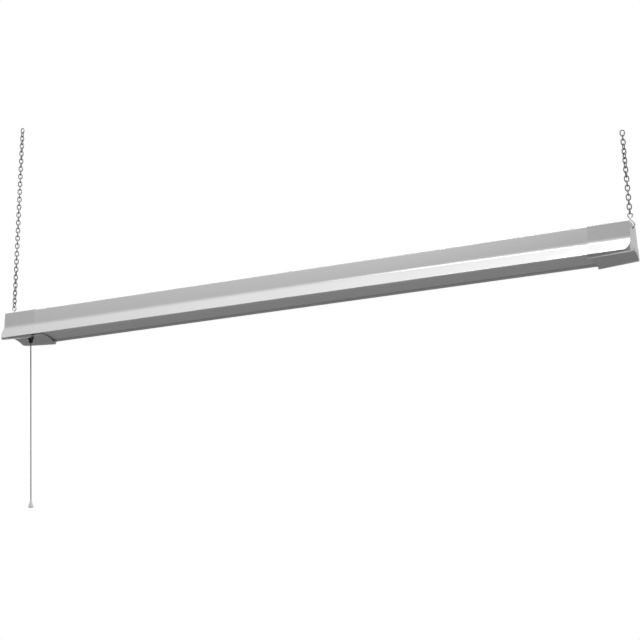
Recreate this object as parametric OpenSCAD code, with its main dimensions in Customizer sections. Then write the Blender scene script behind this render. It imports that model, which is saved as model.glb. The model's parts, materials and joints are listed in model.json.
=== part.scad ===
// Hanging shop light: a sheet metal housing with flared brims, an arched
// diffuser, two moulded end caps, a pull switch and two link chains.
// Every section is drawn with the brim lips at height 0 and the middle of
// the light at x = 0, then lowered so that the origin is on the hanging line.

/* [Housing] */
// Overall length over both end caps
body_l = 1220; // [900:10:1500]
// Half width of the flat top
top_hw = 26; // [20:0.5:34]
// Half width where the side wall meets the flared brim
wall_hw = 29; // [24:0.5:38]
// Half width at the brim lips
lip_hw = 46; // [40:0.5:60]
// Height of the top face above the lips
top_h = 52; // [44:0.5:66]
// Height where the side wall meets the flared brim
wall_h = 22; // [18:0.5:26]
// Sheet metal thickness of the housing
sheet_t = 0.8; // [0.6:0.1:1.2]
// Width of the flat under each lip
lip_flat = 3; // [2.6:0.1:4]
// Width of the upturned return inside each lip
return_w = 3; // [2:0.1:4]
// Height of the upturned return inside each lip
return_h = 2.6; // [2:0.1:3.5]

/* [End caps] */
// Length of each end cap
cap_l = 70; // [60:1:90]
// Thickness of the cap skin that stands proud of the housing
cap_t = 1.2; // [1:0.1:2]
// Thickness of the end wall
cap_end_t = 2.5; // [2:0.1:4]
// Thickness of the arched floor of the cap
cap_floor_t = 2; // [1.5:0.1:3]
// Depth of the cap's rim below the lips at its inner end
rim_drop = 5.5; // [4:0.1:7]
// Depth of the cap's rim below the lips at its outer end
rim_end_drop = 1.2; // [1:0.1:4]
// Width of the flat under each rim
rim_w = 4.5; // [3:0.1:6]
// Rise of the arched floor over its rims
cap_rise = 12; // [9:0.1:12.5]
// Corner radius of the brims at the end, seen from above
cap_corner_r = 12; // [6:0.5:14]
// Diameter of the cap screws' shanks
cap_screw_d = 3.4; // [3:0.1:4]

/* [Diffuser] */
// Thickness of the diffuser
lens_t = 1.5; // [1:0.1:2.5]
// Rise of the diffuser's arch between its edges
lens_rise = 6.2; // [4:0.1:7]
// Length of the diffuser that is hidden in each cap
lens_tuck = 6; // [4:0.5:10]

/* [LED tray] */
// Height of the tray's underside above the lips
tray_h = 18; // [17:0.5:20]
// Thickness of the tray
tray_t = 1; // [0.8:0.1:1.5]
// Height of the tray's upturned edges
tray_edge_h = 5; // [3:0.5:7]
// Diameter of the spacers between tray and housing top
spacer_d = 6; // [5:0.5:8]
// Distance of the spacers from the middle line
spacer_y = 18; // [15:0.5:20]
// Width of an LED board
board_w = 18; // [14:1:20]
// Thickness of an LED board
board_t = 1.6; // [1:0.1:2]
// Distance between neighbouring LED chips
chip_pitch = 20; // [15:1:30]
// Side of an LED chip
chip_w = 3; // [2.8:0.1:5]

/* [Driver] */
// Length of the driver box
driver_l = 180; // [150:5:190]
// Width of the driver box
driver_w = 36; // [32:1:40]
// Height of the driver box
driver_h = 24; // [22:0.5:26]
// Middle of the driver box along the housing
driver_x = -320; // [-330:1:-310]

/* [Mains inlet] */
// Distance of the inlet from the middle of the light
inlet_x = -490; // [-500:1:-480]
// Diameter of the bore that a supply cord passes through
inlet_bore_d = 8; // [6:0.5:10]
// Outside diameter of the inlet bushing's body
inlet_body_d = 14; // [13:0.5:18]
// Distance between the two holes for screwing the housing to a ceiling
ceiling_screw_gap = 406.4; // [300:0.1:410]
// Diameter of the two ceiling screw holes
ceiling_screw_d = 5; // [4:0.5:7]

/* [Pull switch] */
// Distance of the switch from the end of the light
switch_in = 41; // [36:0.5:44]
// Length of the switch case
switch_l = 26; // [24:0.5:30]
// Width of the switch case
switch_w = 22; // [20:0.5:28]
// Height of the switch case
switch_h = 22; // [21:0.5:24]
// Outside diameter of the threaded nozzle
nozzle_d = 9; // [8:0.1:10]
// Length of nozzle that shows under the floor of the cap
nozzle_out = 13; // [10:0.5:15]
// Diameter of the plunger that the cord pulls
plunger_d = 4; // [3:0.1:5]
// Pull travel of the switch
pull_travel = 8; // [5:0.5:8.5]

/* [Pull cord] */
// Length of the pull cord
cord_l = 306; // [150:1:600]
// Diameter of the pull cord
cord_d = 2.4; // [1.5:0.1:3]
// Height of the bell at the cord's end
bell_h = 13; // [8:0.5:20]
// Widest diameter of the bell
bell_d = 9.6; // [6:0.1:14]

/* [Hooks] */
// Diameter of the hook wire
hook_d = 2.4; // [2:0.1:2.8]
// Diameter of the hook's hole in the end wall
hook_hole_d = 5.2; // [4.6:0.1:6]
// Depth of the hook wire's lowest point below the housing's top
hook_drop = 5.7; // [5.5:0.1:12]
// Slant of the right hook's shank, turned up from the outward direction
right_slant = 125; // [110:1:128]
// Slant of the left hook's shank, turned up from the outward direction
left_slant = 125; // [110:1:128]
// Length of the hook's straight shank
shank_l = 14.7; // [12:0.1:20]

/* [Chains] */
// Diameter of the chain wire
link_wire = 2.1; // [1.6:0.1:2.4]
// Inside length of a link
link_inner_l = 8.3; // [7:0.1:12]
// Outside width of a link
link_w = 9; // [8:0.1:12]
// Number of links in the left chain, an even number
left_links = 46; // [6:2:80]
// Number of links in the right chain, an even number
right_links = 18; // [6:2:80]
// Most that the links turn about their chain, away from its two ends
chain_twist = 42; // [0:1:45]
// Lean of the left chain towards the middle of the light
left_lean = 3; // [-5:0.5:8]
// Lean of the right chain towards the middle of the light
right_lean = 0; // [-5:0.5:8]

/* [Hidden] */

$fn = 32;
eps = 0.01;
// Play between a piece and the seat that carries it
gap = 0.3;
// Radial play round a screw or a nozzle in its hole
hole_play = 0.15;
// Play between the plunger and its guides
slide_play = 0.3;

// Housing
end_x = body_l / 2;
cap_x = end_x - cap_l;
shell_x = end_x - cap_corner_r;
hook_h = top_h - hook_drop;
housing_outline = [
    [lip_hw, 0], [wall_hw, wall_h], [top_hw, top_h],
    [-top_hw, top_h], [-wall_hw, wall_h], [-lip_hw, 0]
];
return_line = [
    [lip_hw - lip_flat - return_w, return_h],
    [lip_hw - lip_flat, 0]
];
housing_line = concat(
    return_line, housing_outline,
    [for (i = [1, 0]) [-return_line[i][0], return_line[i][1]]]
);

// End caps
cap_outline = inset(housing_outline, -cap_t);
rim_out_y = lip_hw + cap_t * 1.27;
rim_in_y = rim_out_y - 2.5 - rim_w;
floor_steps = 20;
cap_screw_x = cap_x + 15;
cap_screw_y = 15;
screw_head_d = 6;
screw_head_h = 2;

// Diffuser
lens_hw = lip_hw - lip_flat - return_w + 0.4;
lens_edge_z = return_h + sheet_t - 0.05;
lens_x = cap_x + lens_tuck;

// Tray and boards
tray_hw = wall_hw - sheet_t - 0.9;
tray_x = cap_x - 10;
tray_top = tray_h + tray_t;
spacer_x = [-tray_x + 15, 0, tray_x - 15];
spacer_l = top_h - sheet_t - tray_top;
spacer_bore_d = 3.4;
small_screw_d = 3;
board_bottom = tray_h - board_t;
board_gap = 8;
board_l = tray_x - board_gap / 2 - 2;
chip_h = 0.7;
chips = floor((board_l - chip_pitch) / chip_pitch);
board_screw_x = [for (i = [0:3]) board_gap / 2 + chip_pitch * (2 + i * floor((chips - 3) / 3))];

// Driver
driver_wall = 1;
driver_foot = 12;
driver_board_h = 5;
driver_top = tray_top + driver_h;
driver_end_l = driver_x - driver_l / 2;
driver_end_r = driver_x + driver_l / 2;
part_z = tray_top + driver_wall + driver_board_h + board_t;

// Wiring
terminal_l = 24;
terminal_w = 18;
terminal_h = 12;
terminal_x = inlet_x + 37;
ground_x = terminal_x + terminal_l / 2 + 10;
lug_t = 1;
wire_d = 2;
wire_y = 4;
wire_z = tray_top + 8;
led_wire_z = tray_top + 13;
grommet_x = driver_end_r + 80;
grommet_y = 15;
grommet_d = 7;

// Inlet
inlet_flange_d = inlet_body_d + 5;
inlet_flange_h = 2;
inlet_len = 12;
locknut_h = 4;

// Switch
switch_x = -end_x + switch_in;
pad_d = 16;
floor_top = -rim_drop + cap_rise;
pad_bottom = floor_top - 0.6;
pad_top = floor_top + cap_floor_t + 0.4;
case_wall = 1.5;
case_top = pad_top + switch_h;
nozzle_bottom = floor_top - nozzle_out;
nozzle_bore_d = plunger_d + 2 * slide_play;
nut_h = 5;
nut_d = 13;
head_d = 10;
head_h = 3;
rotor_d = 15;
rotor_h = 2.5;
lid_t = 1.5;
rotor_post_d = 3;
rotor_z = case_top - lid_t - gap - rotor_h;
head_top = rotor_z - gap;
spring_wire = 0.8;
spring_d = 7.6;
spring_floor = pad_top + case_wall + gap / 3;
spring_top = head_top - head_h - gap / 3;
spring_turns = 5;
plunger_bottom = nozzle_bottom - 1;

// Pull cord: its route runs straight down from the plunger
cord_top = [switch_x, 0, plunger_bottom];
cord_steps = 24;
cord_route = [for (i = [0:cord_steps]) cord_top - [0, 0, cord_l * i / cord_steps]];
cord_end_z = plunger_bottom - cord_l;

// Hooks, drawn from the lowest point of the wire in the end wall's hole
bow_r = 4.8;
bow_in = 60;
bow_x = -cap_end_t / 2;
eye_r = 4;
eye_past = 65;
// How far the swelling at both ends of the shank stands proud of the wire
hook_weld = 0.06;

// Chains
link_bow_r = (link_w - link_wire) / 2;
link_side_l = link_inner_l + link_wire - 2 * link_bow_r;
link_pitch = link_inner_l - gap;
link_base = link_inner_l / 2 + link_wire / 2;
seat_z = eye_r - hook_d / 2 - gap - link_wire / 2;

function unit(v) = v / norm(v);

// Mitred offset of a closed outline, inwards for a positive distance
function inset(pts, t) = [
    for (i = [0:len(pts) - 1])
        let (n = len(pts), a = pts[(i + n - 1) % n], b = pts[i], c = pts[(i + 1) % n],
             u = unit(b - a), v = unit(c - b), nu = [-u[1], u[0]], nv = [-v[1], v[0]])
            b + t * (nu + nv) / (1 + nu * nv)
];

// Wire route along X that leaves straight and bows up or down between its ends
function slack_line(x0, x1, y, bow, steps) = [
    for (i = [0:steps])
        let (t = min(max((i - 1) / (steps - 2), 0), 1))
            [x0 + (x1 - x0) * i / steps, y, wire_z + bow * pow(sin(180 * t), 2)]
];

// Points of an open line moved to its left side by a distance
function beside(pts, t) = [
    for (i = [0:len(pts) - 1])
        let (n = len(pts), b = pts[i],
             u = i > 0 ? unit(b - pts[i - 1]) : unit(pts[1] - b),
             v = i < n - 1 ? unit(pts[i + 1] - b) : u,
             nu = [-u[1], u[0]], nv = [-v[1], v[0]])
            b + t * (nu + nv) / (1 + nu * nv)
];

function reversed(list) = [for (i = [len(list) - 1:-1:0]) list[i]];

// Arch over its two edges, as points from -half to half
function arch(half, edge_z, rise, steps) = [
    for (i = [0:steps])
        let (y = -half + 2 * half * i / steps)
            [y, edge_z + rise * (1 - pow(y / half, 2))]
];

// Where the hook's shank starts and ends and where its eye is centred,
// measured from the outer face of the end wall
function hook_turn(slant) = [bow_x + bow_r * sin(slant), bow_r - bow_r * cos(slant)];
function hook_shank_end(slant) = hook_turn(slant) + shank_l * [cos(slant), sin(slant)];
function hook_eye(slant) = hook_shank_end(slant) + eye_r * [sin(slant), -cos(slant)];

// Where a chain's lowest bow rests in its hook's eye, side is -1 or 1
function chain_seat(side, slant) = [
    side * (end_x + hook_eye(slant)[0]), 0,
    hook_h + hook_eye(slant)[1] + seat_z
];

// Middle of the wire in the lower bow of a chain's top link
function hang_point(side, slant, lean, links) =
    chain_seat(side, slant)
    + ((links - 1) * link_pitch) * [-side * sin(lean), 0, cos(lean)];

// Turn of a link at a fraction of the chain's length
function link_twist(part, bias) = chain_twist * sin(180 * pow(part, bias));

left_hang = hang_point(-1, left_slant, left_lean, left_links);
right_hang = hang_point(1, right_slant, right_lean, right_links);
// Height of the hanging line over the middle of the light
origin_z = left_hang[2]
    - left_hang[0] * (right_hang[2] - left_hang[2]) / (right_hang[0] - left_hang[0]);

echo(left_hang = left_hang - [0, 0, origin_z], right_hang = right_hang - [0, 0, origin_z]);
echo(lip_level = -origin_z, hook_level = hook_h - origin_z, switch_x = switch_x);
echo(nozzle_mouth = nozzle_bottom - origin_z, cord_end = cord_end_z - origin_z);
echo(inlet_mouth = top_h + inlet_flange_h - origin_z, top_face = top_h - origin_z);

// Everything is drawn from the lips up and hangs from the origin
module hung() {
    translate([0, 0, -origin_z])
        children();
}

// Section in the YZ plane drawn along X between two places
module along_x(x0, x1) {
    translate([x0, 0, 0])
        rotate([90, 0, 90])
            linear_extrude(x1 - x0)
                children();
}

module round_tube(pts, d, side_dir, sides = 8) {
    n = len(pts);
    dirs = [
        for (i = [0:n - 1])
            unit(pts[min(i + 1, n - 1)] - pts[max(i - 1, 0)])
    ];
    rings = [
        for (i = [0:n - 1])
            let (a = unit(cross(side_dir, dirs[i])), b = cross(dirs[i], a))
                for (k = [0:sides - 1])
                    let (w = 360 * (k + 0.5) / sides)
                        pts[i] + d / 2 * (cos(w) * a + sin(w) * b)
    ];
    walls = [
        for (i = [0:n - 2], k = [0:sides - 1])
            let (p = i * sides + k, q = i * sides + (k + 1) % sides)
                each [[p, p + sides, q + sides], [p, q + sides, q]]
    ];
    first = [[for (k = [0:sides - 1]) k]];
    last = [[for (k = [sides - 1:-1:0]) (n - 1) * sides + k]];
    polyhedron(points = rings, faces = concat(first, walls, last));
}

// Pan head screw that points down from its seat
module screw(shank_d, shank_l) {
    translate([0, 0, -shank_l])
        cylinder(d = shank_d, h = shank_l + eps);
    difference() {
        cylinder(d = screw_head_d, h = screw_head_h);
        for (turn = [0, 90])
            rotate([0, 0, turn])
                translate([-screw_head_d / 3, -0.4, screw_head_h - 1])
                    cube([2 * screw_head_d / 3, 0.8, 2]);
    }
}

module spacer_spots() {
    for (x = spacer_x, side = [-1, 1])
        translate([x, side * spacer_y, 0])
            children();
}

module cap_screw_spots() {
    for (x = [-cap_screw_x, cap_screw_x], side = [-1, 1])
        translate([x, side * cap_screw_y, 0])
            children();
}

module board_screw_spots() {
    for (x = board_screw_x, side = [-1, 1])
        translate([side * x, 0, 0])
            children();
}

module driver_screw_spots() {
    for (x = [driver_end_l - driver_foot / 2, driver_end_r + driver_foot / 2], side = [-1, 1])
        translate([x, side * driver_w / 4, 0])
            children();
}

module housing_shell() {
    color("silver")
        hung()
            difference() {
                along_x(-shell_x, shell_x)
                    polygon(concat(housing_line, reversed(beside(housing_line, sheet_t))));
                spacer_spots()
                    translate([0, 0, top_h - 5])
                        cylinder(d = small_screw_d + 2 * hole_play, h = 10);
                cap_screw_spots()
                    translate([0, 0, top_h - 5])
                        cylinder(d = cap_screw_d + 2 * hole_play, h = 10);
                for (side = [-1, 1])
                    translate([side * ceiling_screw_gap / 2, 0, top_h - 5])
                        cylinder(d = ceiling_screw_d, h = 10);
                translate([inlet_x, 0, top_h - 5])
                    cylinder(d = inlet_body_d + 2 * hole_play, h = 10);
            }
}

module led_tray() {
    edge = tray_h + tray_edge_h;
    color("white")
        hung()
            difference() {
                along_x(-tray_x, tray_x)
                    polygon([
                        [tray_hw, tray_h], [tray_hw, edge], [tray_hw - tray_t, edge],
                        [tray_hw - tray_t, tray_top], [-tray_hw + tray_t, tray_top],
                        [-tray_hw + tray_t, edge], [-tray_hw, edge], [-tray_hw, tray_h]
                    ]);
                spacer_spots()
                    translate([0, 0, tray_h - 2])
                        cylinder(d = small_screw_d + 2 * hole_play, h = 6);
                board_screw_spots()
                    translate([0, 0, tray_h - 2])
                        cylinder(d = small_screw_d + 2 * hole_play, h = 6);
                driver_screw_spots()
                    translate([0, 0, tray_h - 2])
                        cylinder(d = small_screw_d + 2 * hole_play, h = 6);
                translate([ground_x, 0, tray_h - 2])
                    cylinder(d = small_screw_d + 2 * hole_play, h = 6);
                translate([grommet_x, grommet_y, tray_h - 2])
                    cylinder(d = grommet_d + 2 * hole_play, h = 6);
            }
}

module tray_spacers() {
    color("gainsboro")
        hung()
            spacer_spots()
                translate([0, 0, tray_top])
                    difference() {
                        cylinder(d = spacer_d, h = spacer_l);
                        translate([0, 0, -1])
                            cylinder(d = spacer_bore_d, h = spacer_l + 2);
                    }
}

module tray_screws() {
    color("silver")
        hung()
            spacer_spots()
                translate([0, 0, tray_h])
                    mirror([0, 0, 1])
                        screw(small_screw_d, 8);
}

module top_screws() {
    color("silver")
        hung()
            spacer_spots()
                translate([0, 0, top_h])
                    screw(small_screw_d, 8);
}

module led_board(side) {
    hung()
        difference() {
            translate([side > 0 ? board_gap / 2 : -board_gap / 2 - board_l, -board_w / 2, board_bottom])
                cube([board_l, board_w, board_t]);
            board_screw_spots()
                translate([0, 0, board_bottom - 2])
                    cylinder(d = small_screw_d + 2 * hole_play, h = 6);
        }
}

module led_board_left() {
    color("white")
        led_board(-1);
}

module led_board_right() {
    color("white")
        led_board(1);
}

// Chips sit half a pitch away from the board screws
module led_chips(side) {
    hung()
        for (i = [0:chips - 1])
            translate([
                side * (board_gap / 2 + chip_pitch * (i + 1.5)) - chip_w / 2,
                -chip_w / 2,
                board_bottom - chip_h
            ])
                cube([chip_w, chip_w, chip_h]);
}

module led_chips_left() {
    color("khaki")
        led_chips(-1);
}

module led_chips_right() {
    color("khaki")
        led_chips(1);
}

module board_connector() {
    connector_l = 20;
    connector_w = 10;
    connector_h = 3.5;
    color("whitesmoke")
        hung()
            translate([-connector_l / 2, -connector_w / 2, board_bottom - connector_h])
                cube([connector_l, connector_w, connector_h]);
}

module board_screws() {
    color("silver")
        hung()
            board_screw_spots()
                translate([0, 0, board_bottom])
                    mirror([0, 0, 1])
                        screw(small_screw_d, board_t + tray_t - 0.1);
}

module diffuser() {
    under = arch(lens_hw, lens_edge_z, lens_rise, floor_steps);
    over = [for (p = reversed(under)) p + [0, lens_t]];
    color("dimgray")
        hung()
            along_x(-lens_x, lens_x)
                polygon(concat(under, over));
}

// Outline of a cap's section, closed below by its rims and arched floor
module cap_section() {
    floor_line = arch(rim_in_y, -rim_drop, cap_rise, floor_steps);
    polygon(concat(
        floor_line,
        [[rim_in_y + rim_w, -rim_drop], [rim_out_y, 0]],
        [for (i = [1:4]) cap_outline[i]],
        [[-rim_out_y, 0], [-rim_in_y - rim_w, -rim_drop]]
    ));
}

// Room inside a cap: the housing's outline over the cap's floor
module cap_room() {
    floor_line = arch(rim_in_y, -rim_drop + cap_floor_t, cap_rise, 2 * floor_steps);
    polygon(concat(
        [for (p = floor_line) [p[0], max(p[1], 0)]],
        housing_outline
    ));
}

// Cap on the +X end; the left one is its mirror image with the switch's pad
module end_cap(with_pad) {
    difference() {
        union() {
            intersection() {
                difference() {
                    along_x(cap_x, end_x)
                        cap_section();
                    intersection() {
                        along_x(cap_x - 1, end_x - cap_end_t)
                            cap_room();
                        cap_block(cap_t);
                    }
                    below_rims();
                }
                cap_block(0);
            }
            if (with_pad)
                translate([-switch_x, 0, pad_bottom])
                    cylinder(d = pad_d, h = pad_top - pad_bottom);
        }
        translate([end_x - cap_end_t - 1, 0, hook_h + hook_d / 2 + 2 * gap - hook_hole_d / 2])
            rotate([0, 90, 0])
                cylinder(d = hook_hole_d, h = cap_end_t + 2);
        cap_screw_spots()
            translate([0, 0, top_h - 5])
                cylinder(d = cap_screw_d + 2 * hole_play, h = 10);
        if (with_pad)
            translate([-switch_x, 0, pad_bottom - 1])
                cylinder(d = nozzle_d + 2 * hole_play, h = pad_top - pad_bottom + 2);
    }
}

// Wedge that lets the rims rise towards the outer end
module below_rims() {
    rise = (rim_drop - rim_end_drop) / cap_l;
    translate([0, rim_out_y + 1, 0])
        rotate([90, 0, 0])
            linear_extrude(2 * rim_out_y + 2)
                polygon([
                    [cap_x - 1, -rim_drop - rise], [cap_x - 1, -rim_drop - 5],
                    [end_x + 1, -rim_drop - 5], [end_x + 1, -rim_end_drop + rise]
                ]);
}

// Block with a cap's plan, its two outer corners rounded, drawn in by an inset
module cap_block(inset) {
    hw = rim_out_y + 1 - inset;
    translate([0, 0, -rim_drop - 1])
        linear_extrude(top_h + rim_drop + 10) {
            translate([cap_x - 1, -hw])
                square([cap_l + 1 - cap_corner_r, 2 * hw]);
            translate([cap_x - 1, -rim_out_y + cap_corner_r])
                square([cap_l + 1 - inset, 2 * (rim_out_y - cap_corner_r)]);
            for (side = [-1, 1])
                translate([end_x - cap_corner_r, side * (rim_out_y - cap_corner_r)])
                    circle(r = cap_corner_r - inset);
        }
}

module left_end_cap() {
    color("darkgray")
        hung()
            mirror([1, 0, 0])
                end_cap(true);
}

module right_end_cap() {
    color("darkgray")
        hung()
            end_cap(false);
}

module cap_screws() {
    color("silver")
        hung()
            cap_screw_spots()
                translate([0, 0, top_h + cap_t])
                    screw(cap_screw_d, 7);
}

module driver_base() {
    color("lightgray")
        hung()
            difference() {
                union() {
                    translate([driver_end_l - driver_foot, -driver_w / 2, tray_top])
                        cube([driver_l + 2 * driver_foot, driver_w, driver_wall]);
                    for (x = [driver_end_l, driver_end_r - driver_wall])
                        translate([x, -driver_w / 2 + driver_wall, tray_top])
                            cube([driver_wall, driver_w - 2 * driver_wall, driver_h - driver_wall]);
                    for (x = [-1, 1], y = [-1, 1])
                        translate([driver_x + x * (driver_l / 2 - 16), y * (driver_w / 2 - 7), tray_top])
                            cylinder(d = 4, h = driver_wall + driver_board_h);
                }
                driver_screw_spots()
                    translate([0, 0, tray_top - 1])
                        cylinder(d = small_screw_d + 2 * hole_play, h = 4);
                for (y = [-wire_y, wire_y]) {
                    translate([driver_end_l - 1, y, wire_z])
                        rotate([0, 90, 0])
                            cylinder(d = wire_d + 1, h = driver_wall + 2);
                    translate([driver_end_r - driver_wall - 1, y, led_wire_z])
                        rotate([0, 90, 0])
                            cylinder(d = wire_d + 1, h = driver_wall + 2);
                }
            }
}

module driver_cover() {
    low = tray_top + driver_wall;
    color("lightgray")
        hung()
            along_x(driver_end_l, driver_end_r)
                polygon([
                    [driver_w / 2, low], [driver_w / 2, driver_top], [-driver_w / 2, driver_top],
                    [-driver_w / 2, low], [-driver_w / 2 + driver_wall, low],
                    [-driver_w / 2 + driver_wall, driver_top - driver_wall],
                    [driver_w / 2 - driver_wall, driver_top - driver_wall],
                    [driver_w / 2 - driver_wall, low]
                ]);
}

module driver_board() {
    length = driver_l - 16;
    width = driver_w - 2 * driver_wall - 2;
    color("darkgreen")
        hung()
            translate([driver_x - length / 2, -width / 2, part_z - board_t])
                cube([length, width, board_t]);
}

module driver_transformer() {
    color("goldenrod")
        hung()
            translate([driver_x, 0, part_z]) {
                translate([-13, -11, 0])
                    cube([26, 22, 3]);
                translate([-9, -11, 2.9])
                    cube([18, 22, 10]);
                translate([-12, -8, 2.9])
                    cube([24, 16, 8]);
            }
}

module driver_capacitors() {
    color("midnightblue")
        hung()
            for (x = [-62, -46, 44])
                translate([driver_x + x, 0, part_z])
                    cylinder(d = 11, h = 13);
}

module driver_choke() {
    color("orangered")
        hung()
            translate([driver_x + 64, 0, part_z + 3.5 + gap])
                rotate_extrude()
                    translate([5.5, 0])
                        circle(r = 3.5);
}

module driver_screws() {
    color("silver")
        hung()
            driver_screw_spots()
                translate([0, 0, tray_top + driver_wall])
                    screw(small_screw_d, driver_wall + tray_t - 0.1);
}

module terminal_block() {
    color("ivory")
        hung()
            difference() {
                translate([terminal_x - terminal_l / 2, -terminal_w / 2, tray_top])
                    cube([terminal_l, terminal_w, terminal_h]);
                for (y = [-wire_y, wire_y], x = [-6, 6])
                    translate([terminal_x + x, y, tray_top + terminal_h - 4])
                        cylinder(d = 4.4, h = 5);
            }
}

module terminal_screws() {
    color("silver")
        hung()
            for (y = [-wire_y, wire_y], x = [-6, 6])
                translate([terminal_x + x, y, tray_top + terminal_h - 4])
                    difference() {
                        cylinder(d = 4, h = 3);
                        translate([-3, -0.4, 2])
                            cube([6, 0.8, 2]);
                    }
}

module ground_screw() {
    color("seagreen")
        hung()
            translate([ground_x, 0, tray_top + lug_t])
                screw(small_screw_d, lug_t + tray_t - 0.1);
}

// Ring terminal under the ground screw with its short lead to the block
module ground_wire() {
    lug_d = 8;
    color("green")
        hung() {
            difference() {
                translate([ground_x, 0, tray_top])
                    cylinder(d = lug_d, h = lug_t);
                translate([ground_x, 0, tray_top - 1])
                    cylinder(d = small_screw_d + 2 * hole_play, h = 4);
            }
            translate([terminal_x + terminal_l / 2, -0.8, tray_top])
                cube([ground_x - lug_d / 2 + 0.5 - terminal_x - terminal_l / 2, 1.6, lug_t]);
        }
}

module feed_wires() {
    color("black")
        hung()
            for (y = [-wire_y, wire_y])
                round_tube(
                    slack_line(terminal_x + terminal_l / 2, driver_end_l + 4, y, 0.8, 6),
                    wire_d, [0, 1, 0]
                );
}

module switch_wires() {
    color("black")
        hung()
            for (y = [-wire_y, wire_y])
                round_tube(
                    slack_line(terminal_x - terminal_l / 2, switch_x + switch_l / 2, y, -3, 12),
                    wire_d, [0, 1, 0]
                );
}

module led_wires() {
    color("red")
        hung()
            for (side = [-1, 1])
                round_tube([
                    [driver_end_r - 4, side * wire_y, led_wire_z],
                    [driver_end_r + 6, side * wire_y, led_wire_z],
                    [driver_end_r + 24, side * wire_y, tray_top + 9],
                    [driver_end_r + 50, side * wire_y + 3, tray_top + 6],
                    [grommet_x - 10, grommet_y + side * 1.4, tray_top + 6],
                    [grommet_x - 3, grommet_y + side * 1.4, tray_top + 5],
                    [grommet_x, grommet_y + side * 1.4, tray_top + 2],
                    [grommet_x, grommet_y + side * 1.4, tray_h - 1],
                    [grommet_x + 2, grommet_y + side * 1.4, board_bottom - 2.6],
                    [grommet_x + 8, grommet_y + side * 1.4, board_bottom - 3],
                    [grommet_x + 20, board_w / 2 - 1.4 + side * 1.4, board_bottom - 1.5],
                    [grommet_x + 26, board_w / 2 - 1.4 + side * 1.4, board_bottom - 1.1]
                ], wire_d, [0, 1, 0]);
}

module wire_grommet() {
    flange_d = grommet_d + 3;
    color("black")
        hung()
            translate([grommet_x, grommet_y, 0])
                difference() {
                    union() {
                        translate([0, 0, tray_h - 1])
                            cylinder(d = flange_d, h = 1);
                        translate([0, 0, tray_h - 1])
                            cylinder(d = grommet_d, h = tray_t + 2);
                        translate([0, 0, tray_top])
                            cylinder(d = flange_d, h = 1);
                    }
                    translate([0, 0, tray_h - 2])
                        cylinder(d = grommet_d - 1.2, h = tray_t + 4);
                }
}

module inlet_bushing() {
    color("dimgray")
        hung()
            translate([inlet_x, 0, 0])
                difference() {
                    union() {
                        translate([0, 0, top_h])
                            cylinder(d = inlet_flange_d, h = inlet_flange_h);
                        translate([0, 0, top_h + inlet_flange_h - inlet_len])
                            cylinder(d = inlet_body_d, h = inlet_len);
                    }
                    translate([0, 0, top_h + inlet_flange_h - inlet_len - 1])
                        cylinder(d = inlet_bore_d, h = inlet_len + 2);
                }
}

module inlet_locknut() {
    color("gray")
        hung()
            translate([inlet_x, 0, top_h - sheet_t - locknut_h])
                difference() {
                    cylinder(d = inlet_body_d + 8, h = locknut_h, $fn = 6);
                    translate([0, 0, -1])
                        cylinder(d = inlet_body_d + 2 * hole_play, h = locknut_h + 2);
                }
}

module switch_case() {
    color("dimgray")
        hung()
            translate([switch_x, 0, 0])
                difference() {
                    translate([-switch_l / 2, -switch_w / 2, pad_top])
                        cube([switch_l, switch_w, switch_h - lid_t]);
                    translate([-switch_l / 2 + case_wall, -switch_w / 2 + case_wall, pad_top + case_wall])
                        cube([switch_l - 2 * case_wall, switch_w - 2 * case_wall, switch_h]);
                    translate([0, 0, pad_top - 1])
                        cylinder(d = nozzle_bore_d, h = case_wall + 2);
                }
}

module switch_lid() {
    color("gray")
        hung()
            translate([switch_x, 0, case_top - lid_t])
                difference() {
                    translate([-switch_l / 2, -switch_w / 2, 0])
                        cube([switch_l, switch_w, lid_t]);
                    translate([0, 0, -1])
                        cylinder(d = rotor_post_d + 0.1, h = lid_t + 2);
                }
}

// Two sprung blades that the rotor bridges
module switch_contacts() {
    blade_t = 0.6;
    inner = switch_l / 2 - case_wall;
    color("darkgoldenrod")
        hung()
            translate([switch_x, 0, 0])
                for (side = [-1, 1]) {
                    translate([side * (inner - blade_t / 2) - blade_t / 2, -4, pad_top + case_wall])
                        cube([blade_t, 8, switch_h - case_wall - lid_t - 1]);
                    translate([side > 0 ? rotor_d / 2 + gap : -inner, -4, rotor_z + 0.5])
                        cube([inner - rotor_d / 2 - gap, 8, blade_t]);
                }
}

module switch_nozzle() {
    color("gray")
        hung()
            translate([switch_x, 0, nozzle_bottom])
                difference() {
                    cylinder(d = nozzle_d, h = pad_top - nozzle_bottom);
                    translate([0, 0, -1])
                        cylinder(d = nozzle_bore_d, h = pad_top - nozzle_bottom + 2);
                }
}

module switch_nut() {
    color("dimgray")
        hung()
            translate([switch_x, 0, pad_bottom - nut_h])
                difference() {
                    union() {
                        cylinder(d = nut_d, h = nut_h, $fn = 6);
                        translate([0, 0, nut_h - 1])
                            cylinder(d = nut_d, h = 1);
                    }
                    translate([0, 0, -1])
                        cylinder(d = nozzle_d + 2 * hole_play, h = nut_h + 2);
                }
}

module switch_spring() {
    steps = 12 * spring_turns;
    rise = spring_top - spring_floor - spring_wire;
    color("silver")
        hung()
            round_tube([
                for (i = [0:steps])
                    let (w = 30 * i)
                        [
                            switch_x + (spring_d - spring_wire) / 2 * cos(w),
                            (spring_d - spring_wire) / 2 * sin(w),
                            spring_floor + spring_wire / 2 + rise * i / steps
                        ]
            ], spring_wire, [0, 0, 1], 6);
}

module pull_plunger() {
    color("gainsboro")
        hung()
            translate([switch_x, 0, 0]) {
                translate([0, 0, plunger_bottom])
                    cylinder(d = plunger_d, h = head_top - plunger_bottom);
                translate([0, 0, head_top - head_h])
                    cylinder(d = head_d, h = head_h);
            }
}

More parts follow.
